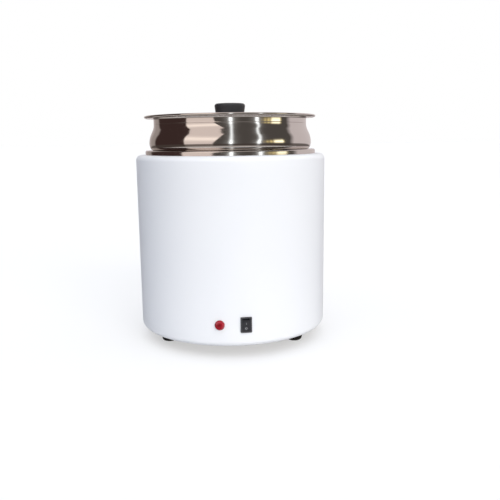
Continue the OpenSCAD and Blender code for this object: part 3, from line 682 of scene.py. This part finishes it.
def lid():
    """Spun lid: a flat edge, a drop into the neck, a dome as half a cosine wave and a pad for the knob."""
    z_dome = z_lid - lid_drop
    dome_r = lid_drop_r - lid_bend_r
    rise = np.linspace(0, 1, 40)[:, None]
    climb = (1 - np.cos(math.pi * rise)) / 2
    dome = np.hstack([dome_r + (pad_r - dome_r) * rise, z_dome + (z_pad - z_dome) * climb])
    path = joined(
        [lid_r - lid_t / 2, z_lid],
        arc([lid_drop_r + lid_bend_r, z_lid - lid_bend_r], lid_bend_r, 90, 180, 8),
        arc([dome_r, z_dome + lid_bend_r], lid_bend_r, 0, -90, 8),
        dome,
        [lid_hole_r, z_pad],
    )
    other = left_of(path, lid_t)
    outline = joined(path, half_round(path[-1], other[-1]), other[::-1], half_round(other[0], path[0]))
    return skin("steel_lid", turned(outline), closed_rows=True)


def knob():
    """Moulded knob: a foot, a hollow neck as a quarter ellipse, a grip that widens upwards, a rounded top
    edge and a slightly crowned top."""
    edge_z = z_knob_top - knob_crown - grip_edge_r
    bore_z = z_knob + knob_bore_l
    low_r = knob_r - grip_draft
    sweep = np.radians(np.linspace(0, 80, 10))[:, None]
    hollow_r = low_r - (low_r - knob_base_r) * np.cos(sweep)
    hollow_z = z_knob + knob_base_h + (grip_low - knob_base_h) * np.sin(sweep)
    soft = 0.8 * MM
    outline = joined(
        [0, bore_z],
        [knob_bore_r, bore_z],
        [knob_bore_r, z_knob],
        arc([knob_base_r - soft, z_knob + soft], soft, -90, 0, 5),
        np.hstack([hollow_r, hollow_z]),
        arc([low_r - soft / 2, z_knob + grip_low + soft], soft, -80, -14, 6),
        arc([knob_r - grip_edge_r, edge_z], grip_edge_r, -10, 84, 16),
        [0, z_knob_top],
    )
    return skin("moulded_knob", turned(outline, 160))


steel_well = stands_for(well(), "water_well")
steel_well.data.materials[0] = spun_steel("brushed_steel", 1500, 0.08, steel_tint)
stands_for(pot(), "food_pot")
stands_for(lid(), "lid")
stands_for(knob(), "lid_knob")


# Switch, lamp and gland


def switch_frame():
    """Snap-in switch frame: rounded rectangles from the floor of the cavity up its walls, over the bezel
    with its eased edges, and down the outside of the body to its back."""
    floor = -3 * pivot_depth
    ease = 0.5 * MM
    turn = np.radians(np.linspace(0, 90, 6))
    step = bezel_t - ease
    rings = [(0, 0, 0, floor), (cavity_w / 2, cavity_h / 2, cavity_corner_r, floor)]
    for t in turn:
        wider = ease * (1 - math.cos(t))
        level = step + ease * math.sin(t)
        rings.append((cavity_w / 2 + wider, cavity_h / 2 + wider, cavity_corner_r, level))
    for t in turn:
        inset = ease * (1 - math.sin(t))
        level = step + ease * math.cos(t)
        rings.append((bezel_w / 2 - inset, bezel_h / 2 - inset, bezel_corner_r, level))
    rings += [
        (bezel_w / 2, bezel_h / 2, bezel_corner_r, 0),
        (switch_w / 2, switch_h / 2, cavity_corner_r, 0),
        (switch_w / 2, switch_h / 2, cavity_corner_r, -switch_depth),
        (0, 0, 0, -switch_depth),
    ]
    grid = np.stack([rounded_ring(*ring) for ring in rings])
    return skin("switch_frame", on_casing(grid, panel_turn))


rocker_crown = bezel_t + pivot_depth - rocker_sink
rocker_half = (cavity_h / 2 - rocker_gap - rocker_crown * math.sin(rocker_tilt)) / (
    math.cos(rocker_tilt) + math.tan(rocker_dish) * math.sin(rocker_tilt)
)
rocker_end = rocker_crown + rocker_half * math.tan(rocker_dish)


def on_rocker(points):
    """Points given about the rocker's pivot, tilted to its OFF place and carried to the casing's wall."""
    x, y, z = np.moveaxis(points, -1, 0)
    up = y * math.cos(rocker_tilt) - z * math.sin(rocker_tilt)
    out = z * math.cos(rocker_tilt) + y * math.sin(rocker_tilt)
    return on_casing(np.stack([x, up, out - pivot_depth], -1), panel_turn)


def rocker_face(y):
    """Height of the rocker's face above its pivot: two slopes that rise from the middle to the ends, each
    hollowed a little for the finger, and eased where they meet."""
    ease = 0.12 * MM
    hollow = 0.3 * MM
    share = np.abs(y) / rocker_half
    slope = np.hypot(y * math.tan(rocker_dish), ease) - ease
    return rocker_crown + slope - hollow * np.sin(math.pi * share) ** 2


def rocker():
    """Rocker: its side outline (face, ends, and taper to the hub) carried across its width and drawn in at
    both sides to ease the edges."""
    ease = 0.4 * MM
    hub_r = 2.2 * MM
    end_t = 3 * MM
    face_y = np.linspace(rocker_half - ease, ease - rocker_half, 41)
    face = np.stack([face_y, rocker_face(face_y)], 1)
    end_low = rocker_end - end_t
    right = arc([rocker_half - ease, rocker_end - ease], ease, 0, 80, 5)
    left = arc([ease - rocker_half, rocker_end - ease], ease, 100, 180, 5)
    hub = arc([0, 0], hub_r, -170, -10, 12)
    outline = joined([rocker_half, end_low], right, face, left, [-rocker_half, end_low], hub)
    middle = outline.mean(0)
    half = rocker_w / 2
    turn = np.radians(np.linspace(0, 90, 5))
    side = half - ease * (1 - np.cos(turn))
    inset = ease * (1 - np.sin(turn))
    x = np.concatenate([-side[:1], -side, side[::-1], side[:1]])[:, None, None]
    reach_in = np.concatenate([inset, inset[::-1]])[:, None, None]
    spoke = outline - middle
    length = np.linalg.norm(spoke, axis=1)[:, None]
    slices = middle + spoke * (1 - reach_in / length)
    caps = np.broadcast_to(middle, slices[:1].shape)
    slices = np.concatenate([caps, slices, caps])
    grid = np.concatenate([np.broadcast_to(x, slices.shape[:2] + (1,)), slices], 2)
    return skin("rocker", on_rocker(grid))


def mark(name, inner, outer):
    """Thin printed mark on the rocker's face: a band between an inner and an outer line of (sideways, up)
    points, closed below the face and a hair above it."""
    sunk = -0.1 * MM
    proud = 0.04 * MM
    lift = np.array([sunk, proud, proud, sunk])
    lines = np.stack([outer, outer, inner, inner])
    level = rocker_face(lines[..., 1]) + lift[:, None]
    grid = np.concatenate([lines, level[..., None]], 2)
    piece = skin(name, on_rocker(grid), closed_rows=True)
    piece.data.materials.append(white_marks)
    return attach(piece, "rocker")


snap_in_frame = stands_for(switch_frame(), "switch_housing")
# Painted light: the frame gets a paler black than the rocker's plastic, to lift it out of the shade round the
# rocker and its cavity.
snap_in_frame.data.materials[0] = moulded_plastic("frame_plastic_painted_light", (0.05, 0.05, 0.055), 0.36)
stands_for(rocker(), "switch_rocker")
mark_turn = np.linspace(0, TURN, 48, endpoint=False)
circle = np.stack([np.sin(mark_turn), np.cos(mark_turn)], 1)
off_place = np.array([0, -3.9 * MM])
off_inner_r = 0.95 * MM
off_outer_r = 1.55 * MM
mark("mark_off", off_place + off_inner_r * circle, off_place + off_outer_r * circle)
on_place = np.array([0, 2.9 * MM])
on_inner = np.array([0.02 * MM, 0.9 * MM])
on_outer = np.array([0.34 * MM, 1.6 * MM])
mark("mark_on", on_place + on_inner * circle, on_place + on_outer * circle)


def lamp_lens():
    """Faceted lens: a round flange, then a dome of flat facets whose rings of corners turn by half a facet
    from one to the next and follow a circle in height, and a spigot behind."""
    facets = 12
    flange_h = 1.2 * MM
    spigot_r = 3.9 * MM
    spigot_l = 5 * MM
    flange_dip = 0.1 * MM
    dome_sink = 0.4 * MM
    turn = np.linspace(0, TURN, facets, endpoint=False)
    share = np.array([0.93, 0.72, 0.42, 0.0])
    shift = np.array([0, 0.5, 0, 0]) * TURN / facets
    level = flange_h + (lens_h - flange_h) * np.sqrt(np.maximum(0, 1 - share ** 2))
    level[0] = flange_h
    around = turn + shift[:, None]
    ring = np.stack([lens_r * share[:, None] * np.sin(around), lens_r * share[:, None] * np.cos(around)], 2)
    dome = np.concatenate([ring, np.broadcast_to(level[:, None, None], ring.shape[:2] + (1,))], 2)
    soft = 0.25 * MM
    flange = turned(joined(
        [0, -spigot_l],
        [spigot_r, -spigot_l],
        [spigot_r, 0],
        [lens_r, 0],
        arc([lens_r - soft, flange_h - soft], soft, 0, 90, 4),
        [0, flange_h - flange_dip],
    ), facets * 6)
    low = skin("lamp_flange", on_casing(flange, -panel_turn))
    base = np.concatenate([dome[:1] - [0, 0, dome_sink], dome])
    base = np.concatenate([base[:1] * [0, 0, 1], base])
    high = skin("faceted_lens", on_casing(base, -panel_turn), crease=1)
    return low, high


for piece in lamp_lens():
    stands_for(piece, "lamp_lens")


def gland():
    """Cord gland at the back: a barrel, a shouldered head with an eased rim and a bore through it."""
    head_r = 10.5 * MM
    head_h = 4.9 * MM
    bore_r = 4.1 * MM
    barrel_l = 13 * MM
    soft = 1.2 * MM
    outline = joined(
        [bore_r, -barrel_l],
        [gland_r, -barrel_l],
        [gland_r, 0],
        [head_r, 0],
        arc([head_r - soft / 2, head_h * 0.5], soft / 2, 0, 60, 4),
        arc([head_r - 2 * soft, head_h - soft], soft, 45, 90, 5),
        arc([bore_r + soft / 2, head_h - soft / 2], soft / 2, 90, 180, 5),
    )
    return skin("gland", on_casing(turned(outline, 96), math.pi), closed_rows=True)


stands_for(gland(), "cord_gland")


# Screws under the base


def cross_screw(name, centre, thread_d, shank_l):
    """Low screw that points up: a shank, a head with an eased edge, and under it a cross recess, sunk
    where a point lies in either of two crossed slots."""
    head_r = thread_d
    head_h = 0.28 * thread_d
    recess_share = 0.55
    slot_half_w = 0.14 * head_r
    slot_half_l = 0.58 * head_r
    side_slope = 0.05 * head_r
    end_slope = 0.08 * head_r
    flat = 0.86
    flat_rings = 22
    ease = np.linspace(0, math.pi / 2, 6)[1:]
    share = np.concatenate([np.linspace(0, flat, flat_rings), flat + (1 - flat) * np.sin(ease)])
    drop = np.concatenate([np.ones(flat_rings), 0.7 + 0.3 * np.cos(ease)])
    turn = np.linspace(0, TURN, 96, endpoint=False)
    x = head_r * share[:, None] * np.sin(turn)
    y = head_r * share[:, None] * np.cos(turn)

    def slot(along, across):
        """1 inside a slot and 0 outside it, with a narrow slope between."""
        side = (slot_half_w - np.abs(across)) / side_slope + 0.5
        end = (slot_half_l - np.abs(along)) / end_slope
        return np.clip(side, 0, 1) * np.clip(end, 0, 1)

    cross = np.maximum(slot(x, y), slot(y, x))
    face = np.stack([x, y, head_h * (recess_share * cross - drop[:, None])], 2)
    shank = np.array([[head_r, 0], [thread_d / 2, 0], [thread_d / 2, shank_l], [0, shank_l]])
    grid = np.concatenate([face, turned(shank, 96) * [1, -1, 1]])
    return skin(name, grid + np.asarray(centre))


base_screw_d = 3.5 * MM
base_screw_l = 9.5 * MM
base_screw_count = 6
base_ring_r = (shell_r - bottom_edge_r - lip_w + base_r) / 2
for i, turn in enumerate((np.arange(base_screw_count) + 0.5) * TURN / base_screw_count):
    place = [base_ring_r * math.sin(turn), -base_ring_r * math.cos(turn), z_base]
    stands_for(cross_screw(f"base_screw_{i + 1}", place, base_screw_d, base_screw_l), "base_screws")


# Camera, from the fit of the casing's outline

camera = bpy.data.objects.new("camera", bpy.data.cameras.new("camera"))
bpy.context.scene.collection.objects.link(camera)
camera_distance = 902.5 * MM
camera_height = 284.7 * MM
camera_side = math.radians(0.3)
camera_pitch = 10.23
camera_roll = 0.664
camera_turn = -1.512
camera_x = camera_distance * math.sin(camera_side)
camera_y = -camera_distance * math.cos(camera_side)
camera.location = (camera_x, camera_y, camera_height)
camera_angles = (90 - camera_pitch, camera_roll, camera_turn)
camera.rotation_euler = Euler([math.radians(angle) for angle in camera_angles])
camera.data.sensor_width = 36
camera.data.lens = 43.955
camera.data.clip_start = 0.01
bpy.context.scene.camera = camera


# Stage: floor, backdrop, lamps and the room that the steel mirrors


def seen_directly(tree):
    """1 for rays from the camera, a mirror or a clear surface, and 0 for those that carry light."""
    path = Field(tree)
    kinds = ("Is Camera Ray", "Is Glossy Ray", "Is Transmission Ray")
    camera_ray, glossy, clear = (path.node("LightPath", output=kind) for kind in kinds)
    return path.math("MINIMUM", camera_ray + glossy + clear, 1.0)


world = bpy.data.worlds.new("studio")
bpy.context.scene.world = world
world.use_nodes = True
air = Field(world.node_tree)
ambient = air.node("Background", {}, {"Color": (0.86, 0.94, 1.12, 1), "Strength": 0.22})
backdrop = air.node("Background", {}, {"Color": (1, 1, 1, 1), "Strength": 1.0})
shown = air.node("MixShader", {}, {0: seen_directly(world.node_tree), 1: ambient, 2: backdrop})
world.node_tree.links.new(shown.socket, world.node_tree.nodes["World Output"].inputs["Surface"])


def floor():
    """Wide flat floor as a grid of squares, white where it is lit and grey in the object's shadow. It
    throws light back near the object, and less of it further off."""
    half_w = 40
    lines = 9
    near_end = 0.2
    far_end = 0.7
    span = np.linspace(-half_w, half_w, lines)
    x, y = np.meshgrid(span, span)
    points = np.stack([x, y, 0 * x], 2).reshape(-1, 3)
    piece = solid("floor", points, grid_quads(lines, lines, closed_columns=False))
    paper = bpy.data.materials.new("floor_paper")
    paper.use_nodes = True
    tree = paper.node_tree
    sheet = Field(tree)
    lit = sheet.node("BsdfDiffuse", {}, {"Color": (0.97, 0.97, 0.97, 1)})
    glow = sheet.node("Emission", {}, {"Color": (1, 1, 1, 1), "Strength": 1.0})
    shown = sheet.node("MixShader", {}, {0: 0.5, 1: lit, 2: glow})
    place = sheet.node("TexCoord", output="Object")
    away = sheet.node("VectorMath", {"operation": "LENGTH"}, {0: place}, "Value")
    stretch = {"Value": away, "From Min": near_end, "From Max": far_end}
    far = sheet.node("MapRange", {"clamp": True}, stretch)
    tones = {0: far, 6: (0.7, 0.71, 0.725, 1), 7: (0.46, 0.465, 0.48, 1)}
    tone = sheet.node("Mix", {"data_type": "RGBA"}, tones, 2)
    bounce = sheet.node("BsdfDiffuse", {}, {"Color": tone})
    mixed = sheet.node("MixShader", {}, {0: seen_directly(tree), 1: bounce, 2: shown})
    tree.links.new(mixed.socket, tree.nodes["Material Output"].inputs["Surface"])
    piece.data.materials.append(paper)
    piece.visible_glossy = False


floor()


def lamp(name, azimuth, elevation, spread, strength, colour):
    """Far soft lamp at an azimuth right of the front and an elevation, as wide as its spread, all in
    degrees."""
    light = bpy.data.lights.new(name, "SUN")
    light.angle = math.radians(spread)
    light.energy = strength
    light.color = colour
    holder = bpy.data.objects.new(name, light)
    bpy.context.scene.collection.objects.link(holder)
    holder.rotation_euler = Euler((math.radians(90 - elevation), 0, math.radians(azimuth)))
    holder.visible_glossy = False


lamp("key", 22, 18, 50, 2.0, (1.015, 0.985, 0.93))
lamp("top", 0, 88, 110, 2.1, (0.98, 0.99, 1.03))
lamp("fill", -30, 20, 40, 0.12, (0.3, 0.6, 1.0))


def mirrored_room():
    """Dome that only mirrors see: a sphere about the pot, painted with the room that polished steel
    mirrors. Azimuth is 0 at the front and grows to the right, and lift is 0 at the horizon, both in
    degrees. Each blend lays one more part of the room over those before it."""
    dome_r = 20
    rise = np.radians(np.linspace(-90, 90, 61))
    outline = np.stack([dome_r * np.cos(rise), dome_r * np.sin(rise) + z_bead], 1)
    piece = skin("mirrored_room", turned(outline, 120))
    room = Finish("mirrored_room", base_color=(0, 0, 0, 1), specular_ior_level=0.0, emission_strength=1.0)
    x, y, z, radius = room.apart()
    azimuth = room.root.math("ARCTAN2", x, 0 - y) * (360 / TURN)
    lift = room.root.math("ARCTAN2", z - z_bead, radius) * (360 / TURN)
    below = 0 - lift

    def past(edge, soft):
        """0 left of an edge and 1 right of it."""
        return room.ramp(azimuth - edge, -soft, soft)

    def glow(value, centre, width):
        """Bell curve about a centre."""
        off = (value - centre) / width
        return room.root.math("EXPONENT", 0 - off * off)

    # Walls, each from its left edge on
    pale_wall = (0.67, 0.6, 0.595)
    rear_wall = (0.36, 0.31, 0.29)
    dark_wall = (0.05, 0.029, 0.026)
    front_wall = (0.088, 0.078, 0.071)
    screen = room.blend(glow(lift, 20, 9), (0.82, 0.70, 0.645), (1.25, 1.1, 0.99))
    climb = room.ramp(lift, 0, 45)
    top_fold = room.ramp(lift, 46.2, 48.6)
    rear_edge = -158
    dark_edge = -130
    screen_edge = -65.5 - 5 * climb
    front_edge = 13 * climb - 23.5 - 9 * top_fold
    right_edge = 95 + 9 * room.ramp(lift, 5, 30)
    colour = room.blend(past(rear_edge, 14), pale_wall, rear_wall)
    colour = room.blend(past(dark_edge, 3), colour, dark_wall)
    colour = room.blend(past(screen_edge, 0.8), colour, screen)
    colour = room.blend(past(front_edge, 0.8), colour, front_wall)
    colour = room.blend(past(right_edge, 5), colour, pale_wall)

    # Two tall lamps, each a bright strip in a faint haze
    haze_light = (1, 1, 0.97)
    strip_light = (2.25, 2.4, 2.45)
    lamp_height = 1 - 0.45 * room.ramp(lift, 5, 18) - 0.55 * room.ramp(lift, 54, 66)
    for centre in (1 + 1.5 * climb, 39.5 + 9 * room.ramp(lift, 4, 46)):
        colour = room.blend(0.2 * lamp_height * glow(azimuth, centre, 8), colour, haze_light)
        colour = room.blend(lamp_height * glow(azimuth, centre, 2.4), colour, strip_light)

    # Window low on the right, behind upright slats, with one clear pane
    slat_light = (0.95, 0.76, 0.34)
    pane_light = (2.0, 1.85, 1.35)
    slat_pitch = 6
    slat_middle = 52
    slats = 0.7 + 0.3 * room.root.math("COSINE", (azimuth - slat_middle) * (TURN / slat_pitch))
    low_light = glow(lift, 4, 6)
    window = room.ramp(azimuth, 44, 56) * (1 - past(80.5, 1)) * low_light
    pane = past(63, 2.5) * (1 - past(78.5, 1.5)) * low_light
    colour = room.blend(window * slats, colour, slat_light)
    colour = room.blend(pane, colour, pane_light)

    # Ceiling, and below the horizon a dark skirting, the floor and the shade under it all
    colour = room.blend(room.ramp(lift, 57, 68), colour, (0.75, 0.68, 0.64))
    colour = room.blend(0.85 * room.ramp(below, 4, 7), colour, (0.07, 0.055, 0.048))
    colour = room.blend(room.ramp(below, 19, 26), colour, (0.5, 0.46, 0.43))
    colour = room.blend(room.ramp(below, 46, 56), colour, (0.1, 0.085, 0.078))
    room.give("Emission Color", colour)
    piece.data.materials.append(room.material)
    piece.visible_camera = False
    piece.visible_diffuse = False
    piece.visible_shadow = False
    piece.visible_transmission = False


mirrored_room()

bpy.context.scene.view_settings.view_transform = "Standard"
